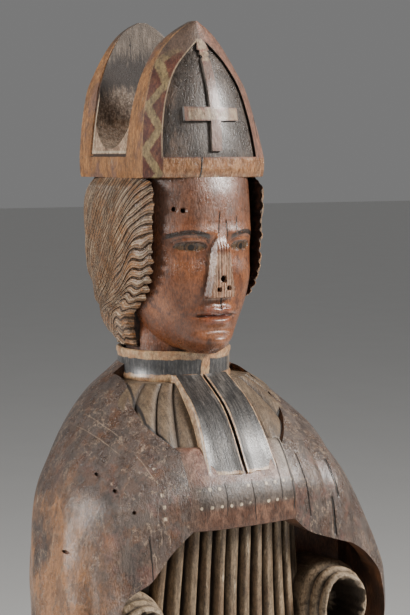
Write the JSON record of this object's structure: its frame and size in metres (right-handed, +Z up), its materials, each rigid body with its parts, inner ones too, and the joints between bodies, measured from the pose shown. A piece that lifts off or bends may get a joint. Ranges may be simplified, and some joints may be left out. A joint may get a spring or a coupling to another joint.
{
  "type": "carved wooden bishop saint statue",
  "caption": "Painted carved-wood bishop saint in mitre, collar with bands, clasped cope and pleated rochet, on a low base.",
  "frame": {"origin": "on the floor under the middle of the base", "axes": "+Z up, the figure faces -Y, +X to the figure's left"},
  "size_m": [0.34, 0.268, 1.278],
  "materials": {
    "painted_wood": "old oil paint and wax over carved wood, worn through to the wood, satin"
  },
  "bodies": {
    "root": {"saint_statue": "painted_wood"}
  },
  "joints": []
}
